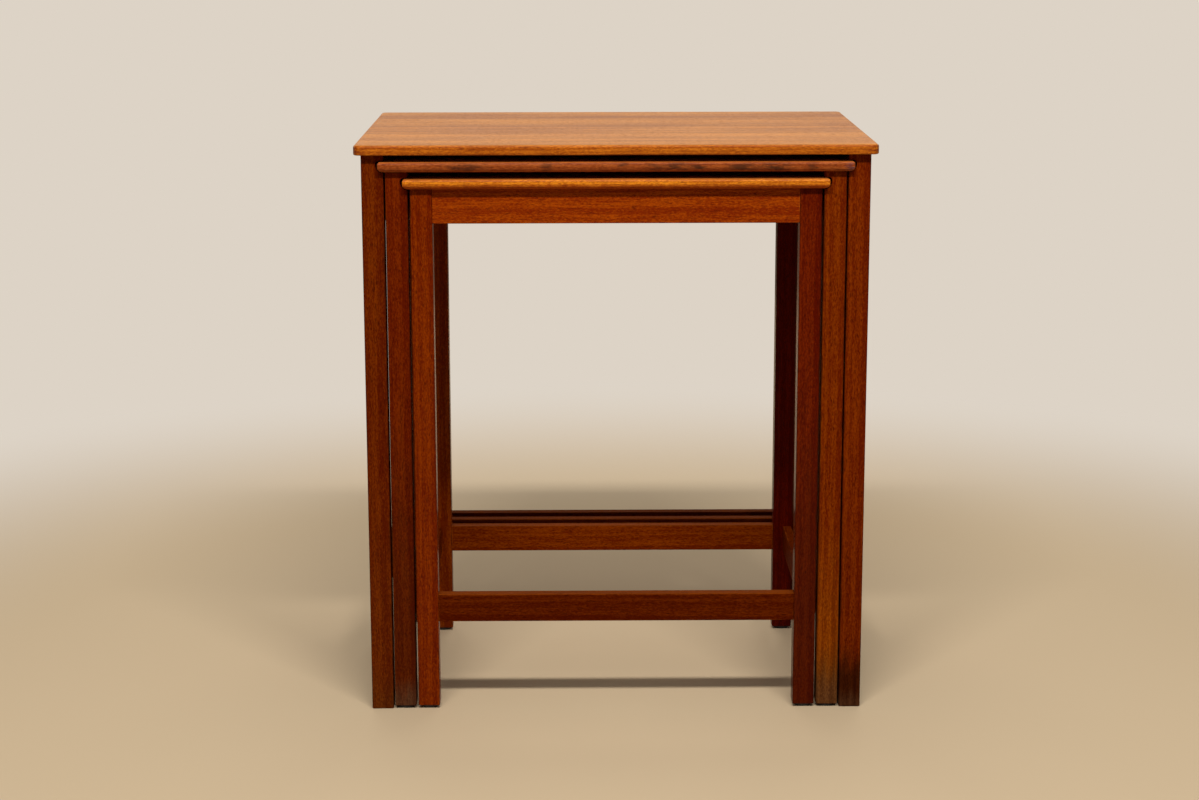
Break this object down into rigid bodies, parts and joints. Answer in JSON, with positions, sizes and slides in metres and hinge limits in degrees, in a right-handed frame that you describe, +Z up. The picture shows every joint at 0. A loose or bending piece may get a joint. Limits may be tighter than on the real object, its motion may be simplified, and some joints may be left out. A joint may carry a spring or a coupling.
{
  "type": "nesting tables",
  "caption": "Nest of square-legged wooden side tables; each smaller table slides out of grooves along the inside of the larger one around it.",
  "frame": {"origin": "on the floor, under the middle of the large top", "axes": "+Z up, +X to the right as seen from the front, and the front faces -Y"},
  "size_m": [0.52, 0.368, 0.585],
  "materials": {
    "top_veneer": "satin oil, fine straight grain",
    "edge_lipping": "satin oil, grain along the edge",
    "leg_wood": "satin oil, upright grain",
    "rail_wood": "satin oil, lengthwise grain",
    "dowel_wood": "raw beech, hidden",
    "foot_pad": "matt black"
  },
  "bodies": {
    "large_table": {"large_front_left_leg": "leg_wood", "large_front_right_leg": "leg_wood", "large_left_apron": "rail_wood", "large_left_stretcher": "rail_wood", "large_rail_dowels": "dowel_wood", "large_rear_apron": "rail_wood", "large_rear_left_leg": "leg_wood", "large_rear_right_leg": "leg_wood", "large_rear_stretcher": "rail_wood", "large_right_apron": "rail_wood", "large_right_stretcher": "rail_wood", "large_top_dowels": "dowel_wood", "large_top_front_lipping": "edge_lipping", "large_top_left_lipping": "edge_lipping", "large_top_panel": "top_veneer", "large_top_rear_lipping": "edge_lipping", "large_top_right_lipping": "edge_lipping"},
    "middle_table": {"middle_foot_pads": "foot_pad", "middle_front_left_leg": "leg_wood", "middle_front_right_leg": "leg_wood", "middle_left_apron": "rail_wood", "middle_left_stretcher": "rail_wood", "middle_rail_dowels": "dowel_wood", "middle_rear_apron": "rail_wood", "middle_rear_left_leg": "leg_wood", "middle_rear_right_leg": "leg_wood", "middle_rear_stretcher": "rail_wood", "middle_right_apron": "rail_wood", "middle_right_stretcher": "rail_wood", "middle_top_dowels": "dowel_wood", "middle_top_front_lipping": "edge_lipping", "middle_top_left_lipping": "edge_lipping", "middle_top_panel": "top_veneer", "middle_top_rear_lipping": "edge_lipping", "middle_top_right_lipping": "edge_lipping"},
    "small_table": {"small_foot_pads": "foot_pad", "small_front_apron": "rail_wood", "small_front_left_leg": "leg_wood", "small_front_right_leg": "leg_wood", "small_front_stretcher": "rail_wood", "small_left_apron": "rail_wood", "small_left_stretcher": "rail_wood", "small_rail_dowels": "dowel_wood", "small_rear_apron": "rail_wood", "small_rear_left_leg": "leg_wood", "small_rear_right_leg": "leg_wood", "small_rear_stretcher": "rail_wood", "small_right_apron": "rail_wood", "small_right_stretcher": "rail_wood", "small_top_dowels": "dowel_wood", "small_top_front_lipping": "edge_lipping", "small_top_left_lipping": "edge_lipping", "small_top_panel": "top_veneer", "small_top_rear_lipping": "edge_lipping", "small_top_right_lipping": "edge_lipping"}
  },
  "joints": [
    {"name": "middle_table_slide", "type": "slide", "parent": "large_table", "child": "middle_table", "axis": [0, -1, 0], "range_m": [0, 0.35]},
    {"name": "small_table_slide", "type": "slide", "parent": "middle_table", "child": "small_table", "axis": [0, -1, 0], "range_m": [0, 0.32]}
  ]
}
